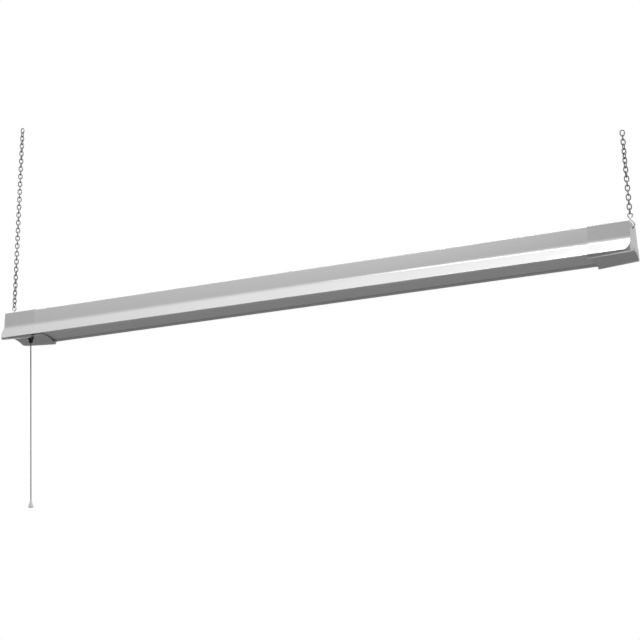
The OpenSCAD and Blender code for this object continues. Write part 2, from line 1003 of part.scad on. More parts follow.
module pull_cord() {
    color("lightgray")
        hung()
            round_tube(cord_route, cord_d, [0, 1, 0]);
}

module pull_bell() {
    neck_d = 4.4;
    color("white")
        hung()
            translate([switch_x, 0, cord_end_z])
                rotate_extrude()
                    polygon([
                        [0, 0], [neck_d / 2, 0], [neck_d / 2 + 0.4, -2], [bell_d * 0.36, -bell_h * 0.45],
                        [bell_d / 2, -bell_h * 0.8], [bell_d / 2, -bell_h + 0.8],
                        [bell_d / 2 - 0.8, -bell_h], [0, -bell_h]
                    ]);
}

module switch_rotor() {
    color("orange")
        hung()
            translate([switch_x, 0, rotor_z]) {
                difference() {
                    cylinder(d = rotor_d, h = rotor_h);
                    for (turn = [45:90:315])
                        rotate([0, 0, turn])
                            translate([rotor_d / 2, 0, -1])
                                cylinder(d = 4, h = rotor_h + 2);
                }
                cylinder(d = rotor_post_d, h = rotor_h + gap + lid_t);
            }
}

// Hook wire from its bow in the end wall's hole to its eye, in the XZ plane
module hook(slant) {
    rotate([90, 0, 0]) {
        translate([bow_x, bow_r, 0])
            rotate([0, 0, -90 - bow_in])
                rotate_extrude(angle = bow_in + slant)
                    translate([bow_r, 0])
                        circle(d = hook_d);
        translate(hook_turn(slant))
            rotate([0, 0, slant])
                rotate([0, 90, 0])
                    cylinder(d = hook_d, h = shank_l);
        translate(hook_turn(slant))
            sphere(d = hook_d + hook_weld);
        translate(hook_shank_end(slant))
            sphere(d = hook_d + hook_weld);
        translate(hook_eye(slant))
            rotate([0, 0, -eye_past])
                rotate_extrude(angle = slant + 90 + eye_past)
                    translate([eye_r, 0])
                        circle(d = hook_d);
    }
}

module right_hook() {
    color("dimgray")
        hung()
            mirror([0, 1, 0])
                translate([end_x, 0, hook_h])
                    hook(right_slant);
}

module left_hook() {
    color("dimgray")
        hung()
            mirror([1, 0, 0])
                translate([end_x, 0, hook_h])
                    hook(left_slant);
}

// One link in the XZ plane round its own middle
module link() {
    rotate([90, 0, 0])
        for (turn = [0, 180])
            rotate([0, 0, turn]) {
                translate([0, link_side_l / 2, 0])
                    rotate_extrude(angle = 180)
                        translate([link_bow_r, 0])
                            circle(d = link_wire, $fn = 24);
                translate([link_bow_r, link_side_l / 2, 0])
                    rotate([90, 0, 0])
                        cylinder(d = link_wire, h = link_side_l, $fn = 24);
            }
}

// Links from one index to another in steps of two, counted from the hook.
// The twist grows from both ends, and a bias over 1 moves its peak upwards.
module chain_links(side, slant, lean, links, bias, from, to) {
    hung()
        translate(chain_seat(side, slant))
            rotate([0, -side * lean, 0])
                for (i = [from:2:to])
                    translate([0, 0, link_base + i * link_pitch])
                        rotate([0, 0, (i % 2 == 0 ? 90 : 0) + link_twist(i / (links - 1), bias)])
                            link();
}

module left_links_between(from, to) {
    color("dimgray")
        chain_links(-1, left_slant, left_lean, left_links, 1, from, to);
}

module right_links_between(from, to) {
    color("dimgray")
        chain_links(1, right_slant, right_lean, right_links, 2, from, to);
}

module left_chain_edge_links() {
    left_links_between(0, left_links - 2);
}

module left_chain_face_links() {
    left_links_between(1, left_links - 3);
}

module right_chain_edge_links() {
    right_links_between(0, right_links - 2);
}

module right_chain_face_links() {
    right_links_between(1, right_links - 3);
}

module left_top_link() {
    left_links_between(left_links - 1, left_links - 1);
}

module right_top_link() {
    right_links_between(right_links - 1, right_links - 1);
}

housing_shell();
led_tray();
tray_spacers();
tray_screws();
top_screws();
led_board_left();
led_board_right();
led_chips_left();
led_chips_right();
board_connector();
board_screws();
diffuser();
left_end_cap();
right_end_cap();
cap_screws();
driver_base();
driver_cover();
driver_board();
driver_transformer();
driver_capacitors();
driver_choke();
driver_screws();
terminal_block();
terminal_screws();
ground_screw();
ground_wire();
feed_wires();
switch_wires();
led_wires();
wire_grommet();
inlet_bushing();
inlet_locknut();
switch_case();
switch_lid();
switch_contacts();
switch_nozzle();
switch_nut();
switch_spring();
pull_plunger();
pull_cord();
pull_bell();
switch_rotor();
left_hook();
right_hook();
left_chain_edge_links();
left_chain_face_links();
right_chain_edge_links();
right_chain_face_links();
left_top_link();
right_top_link();
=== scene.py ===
import json
import math

import bpy
from mathutils import Matrix, Vector

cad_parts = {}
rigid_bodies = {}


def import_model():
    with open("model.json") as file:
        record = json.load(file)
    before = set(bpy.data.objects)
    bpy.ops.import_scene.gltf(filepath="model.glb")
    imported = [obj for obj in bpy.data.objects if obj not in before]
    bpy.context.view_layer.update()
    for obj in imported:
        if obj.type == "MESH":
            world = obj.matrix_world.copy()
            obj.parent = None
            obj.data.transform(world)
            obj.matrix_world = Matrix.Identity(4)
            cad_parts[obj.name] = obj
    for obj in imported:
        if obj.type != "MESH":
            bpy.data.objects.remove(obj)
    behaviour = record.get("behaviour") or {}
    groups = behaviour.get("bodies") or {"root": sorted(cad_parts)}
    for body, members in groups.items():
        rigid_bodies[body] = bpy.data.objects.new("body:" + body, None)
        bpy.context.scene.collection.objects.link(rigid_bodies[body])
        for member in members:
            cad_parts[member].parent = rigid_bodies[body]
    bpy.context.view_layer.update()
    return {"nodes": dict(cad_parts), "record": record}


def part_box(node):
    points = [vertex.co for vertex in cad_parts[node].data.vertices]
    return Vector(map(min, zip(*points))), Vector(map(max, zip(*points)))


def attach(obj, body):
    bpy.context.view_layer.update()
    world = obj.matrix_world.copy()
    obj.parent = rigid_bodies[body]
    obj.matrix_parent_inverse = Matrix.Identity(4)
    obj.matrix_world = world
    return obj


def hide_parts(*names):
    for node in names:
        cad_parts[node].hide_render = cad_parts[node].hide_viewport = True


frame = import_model()

# Sizes below are in millimetres. Places are measured along the light from its
# middle, across it, and up from the level of the two brim lips.
MM = 0.001
HOUSING_LOW, HOUSING_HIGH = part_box("housing_shell")
CAP_LOW, CAP_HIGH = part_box("right_end_cap")
LIP_Z = HOUSING_LOW.z
HALF_LENGTH = CAP_HIGH.x / MM
TOP_H = (HOUSING_HIGH.z - LIP_Z) / MM
LIP_HW = HOUSING_HIGH.y / MM
TOP_HW = 26
WALL_HW = 29
WALL_H = 22
SHEET_T = 0.8


def place(x, y, z):
    """Point of the frame, in metres, for a place on the light."""
    return Vector((x * MM, y * MM, LIP_Z + z * MM))


def height(z):
    """Height in the frame, in metres, above the brim lips."""
    return LIP_Z + z * MM


# ---------------------------------------------------------------- camera

CAMERA_PLACE = (986, -2241, -561)
CAMERA_YAW = 22.76
CAMERA_PITCH = 12.147
CAMERA_ROLL = -2.6
LENS = 78.4


def add_camera():
    """Camera at the photographed angle, looking up and along the light."""
    yaw, pitch, roll = (math.radians(a) for a in (CAMERA_YAW, CAMERA_PITCH, CAMERA_ROLL))
    ahead = Vector((-math.sin(yaw) * math.cos(pitch), math.cos(yaw) * math.cos(pitch), math.sin(pitch)))
    level = Vector((math.cos(yaw), math.sin(yaw), 0))
    above = level.cross(ahead)
    right = level * math.cos(roll) + above * math.sin(roll)
    up = above * math.cos(roll) - level * math.sin(roll)
    bpy.ops.object.camera_add()
    camera = bpy.context.object
    camera.name = "photo_camera"
    camera.data.lens = LENS
    camera.data.sensor_width = 36
    turn = Matrix((right, up, -ahead)).transposed().to_4x4()
    camera.matrix_world = Matrix.Translation(place(*CAMERA_PLACE)) @ turn
    bpy.context.scene.camera = camera


# ---------------------------------------------------------------- modelling helpers

def deselect():
    """Nothing selected, in object mode."""
    if bpy.context.object and bpy.context.object.mode != "OBJECT":
        bpy.ops.object.mode_set(mode="OBJECT")
    bpy.ops.object.select_all(action="DESELECT")


def activate(piece):
    """Only this piece selected and active."""
    deselect()
    piece.select_set(True)
    bpy.context.view_layer.objects.active = piece


def started(name):
    """Names the primitive that was just added and settles its place in its mesh."""
    piece = bpy.context.object
    piece.name = name
    piece.data.name = name
    bpy.ops.object.transform_apply(location=True, rotation=True, scale=True)
    return piece


def pick(piece, kind, test):
    """In edit mode, selects the vertices, edges or faces whose middle passes the test."""
    bpy.ops.mesh.select_mode(type=kind)
    bpy.ops.mesh.select_all(action="DESELECT")
    bpy.ops.object.mode_set(mode="OBJECT")
    mesh = piece.data
    if kind == "VERT":
        for vertex in mesh.vertices:
            vertex.select = test(vertex.co)
    elif kind == "EDGE":
        for edge in mesh.edges:
            a, b = (mesh.vertices[i].co for i in edge.vertices)
            edge.select = test((a + b) / 2, (b - a).normalized())
    else:
        for face in mesh.polygons:
            face.select = test(face.center, face.normal)
    bpy.ops.object.mode_set(mode="EDIT")


def add_modifier(piece, kind, **settings):
    """Adds a modifier and applies it at once."""
    activate(piece)
    modifier = piece.modifiers.new(kind.lower(), kind)
    for key, value in settings.items():
        setattr(modifier, key, value)
    bpy.ops.object.modifier_apply(modifier=modifier.name)


def smooth(piece, angle=35):
    """Smooth shading with edges sharper than the angle kept crisp."""
    activate(piece)
    bpy.ops.object.shade_smooth_by_angle(angle=math.radians(angle))


def outward(piece):
    """Doubles merged and faces turned outwards."""
    activate(piece)
    bpy.ops.object.mode_set(mode="EDIT")
    bpy.ops.mesh.select_all(action="SELECT")
    bpy.ops.mesh.remove_doubles(threshold=1e-6)
    bpy.ops.mesh.normals_make_consistent(inside=False)
    bpy.ops.object.mode_set(mode="OBJECT")


def joined(pieces, name):
    """All pieces as one mesh under one name."""
    deselect()
    for piece in pieces:
        piece.select_set(True)
    bpy.context.view_layer.objects.active = pieces[0]
    if len(pieces) > 1:
        bpy.ops.object.join()
    bpy.context.object.name = name
    bpy.context.object.data.name = name
    return bpy.context.object


def copied(piece, matrix):
    """A copy with its own mesh, moved within that mesh."""
    twin = piece.copy()
    twin.data = piece.data.copy()
    bpy.context.collection.objects.link(twin)
    twin.data.transform(matrix)
    return twin


def softened(node, name, width, segments=3, angle=30):
    """A copy of a CAD node with rounded edges."""
    activate(frame["nodes"][node])
    bpy.ops.object.duplicate()
    piece = bpy.context.object
    bpy.ops.object.parent_clear(type="CLEAR_KEEP_TRANSFORM")
    piece.name = name
    piece.data.name = name
    bpy.ops.object.mode_set(mode="EDIT")
    bpy.ops.mesh.select_all(action="SELECT")
    bpy.ops.mesh.remove_doubles(threshold=2e-6)
    bpy.ops.mesh.dissolve_limited(angle_limit=math.radians(0.5))
    bpy.ops.object.mode_set(mode="OBJECT")
    piece.data.materials.clear()
    add_modifier(
        piece, "BEVEL", width=width * MM, segments=segments, limit_method="ANGLE",
        angle_limit=math.radians(angle), harden_normals=False, use_clamp_overlap=True,
    )
    smooth(piece)
    return piece


def turned(name, x, y, outline, sides=32, closed=True):
    """A turned piece: rings of (radius, height) drawn out one after another."""
    deselect()
    radius, z = outline[0]
    bpy.ops.mesh.primitive_circle_add(
        vertices=sides, radius=max(radius, 0.01) * MM, location=place(x, y, z),
        fill_type="NGON" if closed else "NOTHING",
    )
    piece = started(name)
    bpy.ops.object.mode_set(mode="EDIT")
    bpy.ops.mesh.select_all(action="SELECT")
    if closed:
        pick(piece, "EDGE", lambda middle, way: True)
    for (r0, z0), (r1, z1) in zip(outline, outline[1:]):
        bpy.ops.mesh.extrude_edges_move(TRANSFORM_OT_translate={"value": (0, 0, (z1 - z0) * MM)})
        grow = max(r1, 0.01) / max(r0, 0.01)
        bpy.ops.transform.resize(value=(grow, grow, 1), center_override=place(x, y, z1))
    if closed:
        bpy.ops.mesh.edge_face_add()
    bpy.ops.object.mode_set(mode="OBJECT")
    outward(piece)
    smooth(piece)
    return piece


def eased(before, corner, after, cut, steps):
    """Points that round a corner off, from a cut before it to the same cut after it."""
    corner = Vector(corner)
    start = corner + (Vector(before) - corner).normalized() * cut
    end = corner + (Vector(after) - corner).normalized() * cut
    return [
        tuple(start * (1 - t) ** 2 + corner * 2 * t * (1 - t) + end * t ** 2)
        for t in (i / steps for i in range(steps + 1))
    ]


def arch(half, edge_z, rise, steps):
    """Arch over its two edges, as points across the light."""
    across = [-half + 2 * half * i / steps for i in range(steps + 1)]
    return [(y, edge_z + rise * (1 - (y / half) ** 2)) for y in across]


def drawn(name, points):
    """A line drawn through its points: one vertex, extruded from place to place."""
    deselect()
    bpy.ops.mesh.primitive_plane_add(size=MM, location=points[0])
    piece = started(name)
    bpy.ops.object.mode_set(mode="EDIT")
    bpy.ops.mesh.select_mode(type="VERT")
    bpy.ops.mesh.select_all(action="SELECT")
    bpy.ops.mesh.merge(type="CENTER")
    for a, b in zip(points, points[1:]):
        bpy.ops.mesh.extrude_vertices_move(TRANSFORM_OT_translate={"value": b - a})
    bpy.ops.mesh.select_all(action="SELECT")
    return piece


def bar(name, outline, x0, x1):
    """A solid bar along the light with a drawn section."""
    first, last = place(x0, *outline[0]), place(x0, *outline[-1])
    piece = drawn(name, [place(x0, y, z) for y, z in outline])
    pick(piece, "VERT", lambda at: min((at - first).length, (at - last).length) < 5e-6)
    bpy.ops.mesh.edge_face_add()
    bpy.ops.mesh.select_all(action="SELECT")
    bpy.ops.mesh.edge_face_add()
    bpy.ops.mesh.extrude_region_move(TRANSFORM_OT_translate={"value": ((x1 - x0) * MM, 0, 0)})
    outward(piece)
    return piece


def pillar(name, x, y, radius, z0, z1, sides=32):
    """An upright round cutter or pad."""
    deselect()
    bpy.ops.mesh.primitive_cylinder_add(
        vertices=sides, radius=radius * MM, depth=(z1 - z0) * MM, location=place(x, y, (z0 + z1) / 2))
    return started(name)


def cut(piece, tool, operation="DIFFERENCE"):
    """Cuts, trims or adds with a second solid, which is used up."""
    add_modifier(piece, "BOOLEAN", object=tool, operation=operation, solver="EXACT")
    activate(tool)
    bpy.ops.object.delete()
    activate(piece)
    bpy.ops.object.mode_set(mode="EDIT")
    bpy.ops.mesh.select_all(action="SELECT")
    bpy.ops.mesh.remove_doubles(threshold=2e-6)
    bpy.ops.mesh.dissolve_degenerate(threshold=1e-6)
    bpy.ops.object.mode_set(mode="OBJECT")


def close_ends(piece):
    """Fills the open rings at both ends of a wire or cord."""
    activate(piece)
    bpy.ops.object.mode_set(mode="EDIT")
    bpy.ops.mesh.select_mode(type="VERT")
    bpy.ops.mesh.select_all(action="DESELECT")
    bpy.ops.mesh.select_non_manifold()
    bpy.ops.mesh.fill_holes(sides=0)
    bpy.ops.object.mode_set(mode="OBJECT")


# ---------------------------------------------------------------- materials

def shader_group(name, inputs, outputs):
    """Empty node group with its sockets and both end nodes."""
    group = bpy.data.node_groups.new(name, "ShaderNodeTree")
    for label, kind, value in inputs:
        socket = group.interface.new_socket(label, in_out="INPUT", socket_type=kind)
        socket.default_value = value
    for label, kind in outputs:
        group.interface.new_socket(label, in_out="OUTPUT", socket_type=kind)
    return group, group.nodes.new("NodeGroupInput"), group.nodes.new("NodeGroupOutput")


def math_node(tree, operation, a, b=None):
    """Math node whose inputs are numbers or sockets."""
    node = tree.nodes.new("ShaderNodeMath")
    node.operation = operation
    for slot, value in enumerate((a, b)):
        if value is None:
            continue
        if isinstance(value, (int, float)):
            node.inputs[slot].default_value = value
        else:
            tree.links.new(value, node.inputs[slot])
    return node.outputs[0]


def cloudy_tone_group():
    """Base colour that drifts a little lighter and darker over the surface."""
    group, start, end = shader_group(
        "cloudy_tone",
        [("Color", "NodeSocketColor", (1, 1, 1, 1)), ("Amount", "NodeSocketFloat", 0.05),
         ("Scale", "NodeSocketFloat", 8), ("Speckle", "NodeSocketFloat", 0.02)],
        [("Color", "NodeSocketColor"), ("Mask", "NodeSocketFloat")],
    )
    where = group.nodes.new("ShaderNodeTexCoord")
    clouds = group.nodes.new("ShaderNodeTexNoise")
    clouds.inputs["Detail"].default_value = 5
    specks = group.nodes.new("ShaderNodeTexNoise")
    specks.inputs["Scale"].default_value = 1400
    specks.inputs["Detail"].default_value = 2
    group.links.new(where.outputs["Object"], clouds.inputs["Vector"])
    group.links.new(where.outputs["Object"], specks.inputs["Vector"])
    group.links.new(start.outputs["Scale"], clouds.inputs["Scale"])
    drift = math_node(group, "SUBTRACT", clouds.outputs[0], 0.5)
    drift = math_node(group, "MULTIPLY", drift, start.outputs["Amount"])
    fleck = math_node(group, "SUBTRACT", specks.outputs[0], 0.5)
    fleck = math_node(group, "MULTIPLY", fleck, start.outputs["Speckle"])
    total = math_node(group, "ADD", math_node(group, "ADD", drift, fleck), 1)
    scaled = group.nodes.new("ShaderNodeVectorMath")
    scaled.operation = "SCALE"
    group.links.new(start.outputs["Color"], scaled.inputs[0])
    group.links.new(total, scaled.inputs["Scale"])
    group.links.new(scaled.outputs[0], end.inputs["Color"])
    group.links.new(clouds.outputs[0], end.inputs["Mask"])
    return group


def pebble_group():
    """Fine relief: small pebbles with a slower swell under them."""
    group, start, end = shader_group(
        "pebble_relief",
        [("Scale", "NodeSocketFloat", 900), ("Swell", "NodeSocketFloat", 0.3)],
        [("Height", "NodeSocketFloat")],
    )
    where = group.nodes.new("ShaderNodeTexCoord")
    fine = group.nodes.new("ShaderNodeTexNoise")
    fine.inputs["Detail"].default_value = 3
    slow = group.nodes.new("ShaderNodeTexNoise")
    slow.inputs["Scale"].default_value = 60
    group.links.new(where.outputs["Object"], fine.inputs["Vector"])
    group.links.new(where.outputs["Object"], slow.inputs["Vector"])
    group.links.new(start.outputs["Scale"], fine.inputs["Scale"])
    swell = math_node(group, "MULTIPLY", slow.outputs[0], start.outputs["Swell"])
    group.links.new(math_node(group, "ADD", fine.outputs[0], swell), end.inputs["Height"])
    return group


def drawn_lines_group():
    """Fine lines along the light, as rolled sheet and extruded plastic have."""
    group, start, end = shader_group(
        "drawn_lines",
        [("Density", "NodeSocketFloat", 900)],
        [("Height", "NodeSocketFloat")],
    )
    where = group.nodes.new("ShaderNodeTexCoord")
    stretch = group.nodes.new("ShaderNodeMapping")
    stretch.inputs["Scale"].default_value = (0.01, 1, 1)
    lines = group.nodes.new("ShaderNodeTexNoise")
    lines.inputs["Detail"].default_value = 3
    group.links.new(where.outputs["Object"], stretch.inputs["Vector"])
    group.links.new(stretch.outputs[0], lines.inputs["Vector"])
    group.links.new(start.outputs["Density"], lines.inputs["Scale"])
    group.links.new(lines.outputs[0], end.inputs["Height"])
    return group


def dust_group():
    """Thin dust that settles on faces that look up."""
    group, start, end = shader_group(
        "settled_dust",
        [("Color", "NodeSocketColor", (1, 1, 1, 1)), ("Amount", "NodeSocketFloat", 0.1)],
        [("Color", "NodeSocketColor"), ("Mask", "NodeSocketFloat")],
    )
    surface = group.nodes.new("ShaderNodeNewGeometry")
    split = group.nodes.new("ShaderNodeSeparateXYZ")
    where = group.nodes.new("ShaderNodeTexCoord")
    patches = group.nodes.new("ShaderNodeTexNoise")
    patches.inputs["Scale"].default_value = 35
    patches.inputs["Detail"].default_value = 6
    group.links.new(surface.outputs["Normal"], split.inputs[0])
    group.links.new(where.outputs["Object"], patches.inputs["Vector"])
    facing = math_node(group, "MAXIMUM", math_node(group, "SUBTRACT", split.outputs["Z"], 0.5), 0)
    mask = math_node(group, "MULTIPLY", math_node(group, "MULTIPLY", facing, 2), patches.outputs[0])
    mask = math_node(group, "MULTIPLY", mask, start.outputs["Amount"])
    mix = group.nodes.new("ShaderNodeMix")
    mix.data_type = "RGBA"
    mix.inputs["B"].default_value = (0.42, 0.40, 0.37, 1)
    group.links.new(mask, mix.inputs["Factor"])
    group.links.new(start.outputs["Color"], mix.inputs["A"])
    group.links.new(mix.outputs["Result"], end.inputs["Color"])
    group.links.new(mask, end.inputs["Mask"])
    return group


CLOUDY_TONE = cloudy_tone_group()
PEBBLES = pebble_group()
DRAWN_LINES = drawn_lines_group()
DUST = dust_group()


def use_group(tree, group, **values):
    """A group node with its values set."""
    node = tree.nodes.new("ShaderNodeGroup")
    node.node_tree = group
    for label, value in values.items():
        node.inputs[label].default_value = value
    return node


def finish_material(
    name, color, roughness, metallic=0.0, coat=0.0, tone=0.05, tone_scale=8, speckle=0.03,
    relief=PEBBLES, relief_scale=900, relief_depth=0.00001, dust=0.0, shine_drift=0.06, ior=1.5,
):
    """Painted, moulded or plated finish: drifting tone, fine relief, uneven shine."""
    material = bpy.data.materials.new(name)
    material.use_nodes = True
    tree = material.node_tree
    shader = tree.nodes["Principled BSDF"]
    shader.inputs["Metallic"].default_value = metallic
    shader.inputs["IOR"].default_value = ior
    shader.inputs["Coat Weight"].default_value = coat
    cloudy = use_group(
        tree, CLOUDY_TONE, Color=(*color, 1), Amount=tone * 2, Scale=tone_scale, Speckle=speckle * 2
    )
    top = cloudy.outputs["Color"]
    if dust:
        dusty = use_group(tree, DUST, Amount=dust)
        tree.links.new(top, dusty.inputs["Color"])
        top = dusty.outputs["Color"]
    tree.links.new(top, shader.inputs["Base Color"])
    centred = math_node(tree, "SUBTRACT", cloudy.outputs["Mask"], 0.5)
    drift = math_node(tree, "MULTIPLY", centred, shine_drift * 2)
    tree.links.new(math_node(tree, "ADD", drift, roughness), shader.inputs["Roughness"])
    if relief_depth:
        key = "Density" if relief == DRAWN_LINES else "Scale"
        texture = use_group(tree, relief, **{key: relief_scale})
        bump = tree.nodes.new("ShaderNodeBump")
        bump.inputs["Distance"].default_value = relief_depth
        bump.inputs["Strength"].default_value = 1
        tree.links.new(texture.outputs["Height"], bump.inputs["Height"])
        tree.links.new(bump.outputs[0], shader.inputs["Normal"])
    return material


def cord_material():
    """Braided cord: two sets of strands that cross as they wind round it."""
    material = finish_material("braided_cord", (0.44, 0.44, 0.44), 0.8, tone=0.04, relief_depth=0)
    tree = material.node_tree
    shader = tree.nodes["Principled BSDF"]
    where = tree.nodes.new("ShaderNodeTexCoord")
    centre = tree.nodes.new("ShaderNodeMapping")
    centre.inputs["Location"].default_value = (-CORD_TOP.x, -CORD_TOP.y, 0)
    tree.links.new(where.outputs["Object"], centre.inputs["Vector"])
    split = tree.nodes.new("ShaderNodeSeparateXYZ")
    tree.links.new(centre.outputs[0], split.inputs[0])
    turn = math_node(tree, "ARCTAN2", split.outputs["Y"], split.outputs["X"])
    turn = math_node(tree, "MULTIPLY", turn, 4)
    rise = math_node(tree, "MULTIPLY", split.outputs["Z"], 2200)
    one = math_node(tree, "SINE", math_node(tree, "ADD", rise, turn))
    other = math_node(tree, "SINE", math_node(tree, "SUBTRACT", rise, turn))
    weave = math_node(tree, "MULTIPLY", one, other)
    bump = tree.nodes.new("ShaderNodeBump")
    bump.inputs["Distance"].default_value = 0.00012
    tree.links.new(weave, bump.inputs["Height"])
    tree.links.new(bump.outputs[0], shader.inputs["Normal"])
    return material


# Pull cord, straight down from the plunger to the bell
CORD_X = -569
CORD_DIAMETER = 2.4
CORD_LENGTH = 306
PLUNGER_LOW, PLUNGER_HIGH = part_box("pull_plunger")
CORD_TOP = Vector((CORD_X * MM, 0, PLUNGER_LOW.z))


def make_materials():
    """One finish for each material slot of the record."""
    return {
        "housing": finish_material(
            "satin_silver_paint", (0.60, 0.60, 0.60), 0.40, coat=0.5, tone=0.02,
            speckle=0.03, relief_scale=1500, relief_depth=0.000008, dust=0.12),
        "cap_plastic": finish_material(
            "grey_cap_moulding", (0.58, 0.58, 0.58), 0.40, coat=0.4, tone=0.02, speckle=0.02,
            relief_scale=1200, relief_depth=0.00002, dust=0.12),
        "diffuser": finish_material(
            "frosted_diffuser", (0.68, 0.68, 0.68), 0.55, tone=0.03, relief=DRAWN_LINES,
            relief_scale=700, relief_depth=0.00002),
        "tray_white": finish_material("white_tray_paint", (0.82, 0.82, 0.81), 0.5),
        "led_board": finish_material("white_solder_mask", (0.85, 0.85, 0.83), 0.4),
        "led_chip": finish_material("yellow_phosphor", (0.85, 0.68, 0.2), 0.5),
        "white_plastic": finish_material("white_nylon", (0.8, 0.8, 0.77), 0.45),
        "zinc": finish_material(
            "zinc_plating", (0.42, 0.42, 0.42), 0.3, metallic=1, tone=0.08, tone_scale=90,
            relief_depth=0.000008),
        "driver_box": finish_material(
            "driver_sheet", (0.68, 0.68, 0.69), 0.4, metallic=1, relief=DRAWN_LINES, relief_scale=900),
        "green_board": finish_material("green_solder_mask", (0.03, 0.2, 0.07), 0.35),
        "transformer": finish_material("yellow_coil_tape", (0.7, 0.52, 0.1), 0.4),
        "capacitor": finish_material("blue_can_sleeve", (0.03, 0.04, 0.14), 0.3),
        "choke": finish_material("copper_enamel", (0.5, 0.18, 0.05), 0.3, relief_depth=0.00004),
        "ground_green": finish_material("green_ground", (0.06, 0.32, 0.1), 0.4),
        "black_wire": finish_material("black_insulation", (0.02, 0.02, 0.02), 0.45),
        "red_wire": finish_material("red_insulation", (0.45, 0.03, 0.02), 0.45),
        "black_rubber": finish_material("black_grommet", (0.025, 0.025, 0.025), 0.7),
        "black_plastic": finish_material(
            "black_nylon", (0.035, 0.035, 0.036), 0.45, relief_scale=1300, relief_depth=0.00002, dust=0.15),
        "brass": finish_material("contact_brass", (0.75, 0.52, 0.2), 0.3, metallic=1, tone=0.08),
        "dark_steel": finish_material(
            "blackened_steel", (0.07, 0.07, 0.072), 0.32, metallic=0.9, tone=0.15, tone_scale=120,
            relief_depth=0.00001),
        "cord_grey": cord_material(),
        "bell_white": finish_material(
            "white_bell_moulding", (0.86, 0.86, 0.85), 0.32, tone=0.01, speckle=0.01, relief_depth=0.000006),
        "chain_steel": finish_material(
            "dull_chain_steel", (0.20, 0.20, 0.20), 0.36, metallic=0.9, tone=0.2, tone_scale=160,
            relief_scale=1800, relief_depth=0.00001),
    }


# ---------------------------------------------------------------- stage

def add_area_light(name, where, target, width, depth, power):
    """Soft box at a place that faces a target, both in metres."""
    bpy.ops.object.light_add(type="AREA", location=where)
    lamp = bpy.context.object
    lamp.name = name
    lamp.data.shape = "RECTANGLE"
    lamp.data.size = width
    lamp.data.size_y = depth
    lamp.data.energy = power
    lamp.rotation_euler = (Vector(target) - Vector(where)).to_track_quat("-Z", "Y").to_euler()


AMBIENT = 0.2
FLOOR_Z = -2.6
FLOOR_SIZE = 14
FLOOR_GREY = (0.70, 0.70, 0.70)
LAMP_PLACE = (0.42, -0.20, 1.1)
LAMP_AIM = (0.2, 0, -0.3)
LAMP_WIDTH = 2.8
LAMP_DEPTH = 0.4
LAMP_POWER = 49


def white_when_seen(material):
    """Lets the camera see plain white from above and nothing from below; the finish still lights the part."""
    tree = material.node_tree
    output = next(node for node in tree.nodes if node.type == "OUTPUT_MATERIAL")
    finish = output.inputs["Surface"].links[0].from_socket
    rays = tree.nodes.new("ShaderNodeLightPath")
    plain = tree.nodes.new("ShaderNodeEmission")
    plain.inputs["Color"].default_value = (1, 1, 1, 1)
    plain.inputs["Strength"].default_value = 1
    side = tree.nodes.new("ShaderNodeNewGeometry")
    seen = tree.nodes.new("ShaderNodeMixShader")
    tree.links.new(side.outputs["Backfacing"], seen.inputs["Fac"])
    tree.links.new(plain.outputs["Emission"], seen.inputs[1])
    tree.links.new(tree.nodes.new("ShaderNodeBsdfTransparent").outputs["BSDF"], seen.inputs[2])
    blend = tree.nodes.new("ShaderNodeMixShader")
    tree.links.new(rays.outputs["Is Camera Ray"], blend.inputs["Fac"])
    tree.links.new(finish, blend.inputs[1])
    tree.links.new(seen.outputs["Shader"], blend.inputs[2])
    tree.links.new(blend.outputs["Shader"], output.inputs["Surface"])
    return material


def add_stage():
    """White world, pale floor and one soft lamp overhead."""
    world = bpy.data.worlds.new("white_room")
    bpy.context.scene.world = world
    world.use_nodes = True
    tree = world.node_tree
    background = tree.nodes["Background"]
    background.inputs["Color"].default_value = (1, 1, 1, 1)
    rays = tree.nodes.new("ShaderNodeLightPath")
    seen = math_node(tree, "MAXIMUM", rays.outputs["Is Camera Ray"], rays.outputs["Is Transmission Ray"])
    seen = math_node(tree, "MAXIMUM", seen, rays.outputs["Is Glossy Ray"])
    strength = math_node(tree, "MULTIPLY", seen, 1 - AMBIENT)
    tree.links.new(math_node(tree, "ADD", strength, AMBIENT), background.inputs["Strength"])
    deselect()
    bpy.ops.mesh.primitive_plane_add(size=FLOOR_SIZE, location=(0, 0, FLOOR_Z))
    floor = started("pale_floor")
    floor.data.materials.append(white_when_seen(
        finish_material("pale_floor_paint", FLOOR_GREY, 0.8, relief_depth=0)))
    add_area_light("overhead_softbox", LAMP_PLACE, LAMP_AIM, LAMP_WIDTH, LAMP_DEPTH, LAMP_POWER)


bpy.context.scene.view_settings.view_transform = "Standard"
add_camera()
add_stage()
MATERIALS = make_materials()
for part in frame["record"]["subparts"]:
    node = frame["nodes"][part["node"]]
    for slot in node.material_slots:
        slot.material = MATERIALS[part["material_slot"]]


def finished(piece, slot, body, *nodes):
    """Gives a new piece its finish and its body, and hides the nodes that it stands for."""
    piece.data.materials.clear()
    piece.data.materials.append(MATERIALS[slot])
    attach(piece, body)
    if nodes:
        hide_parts(*nodes)


# ---------------------------------------------------------------- pull cord and bell

CORD_TWISTS = 38
TWIST_STEPS = 12


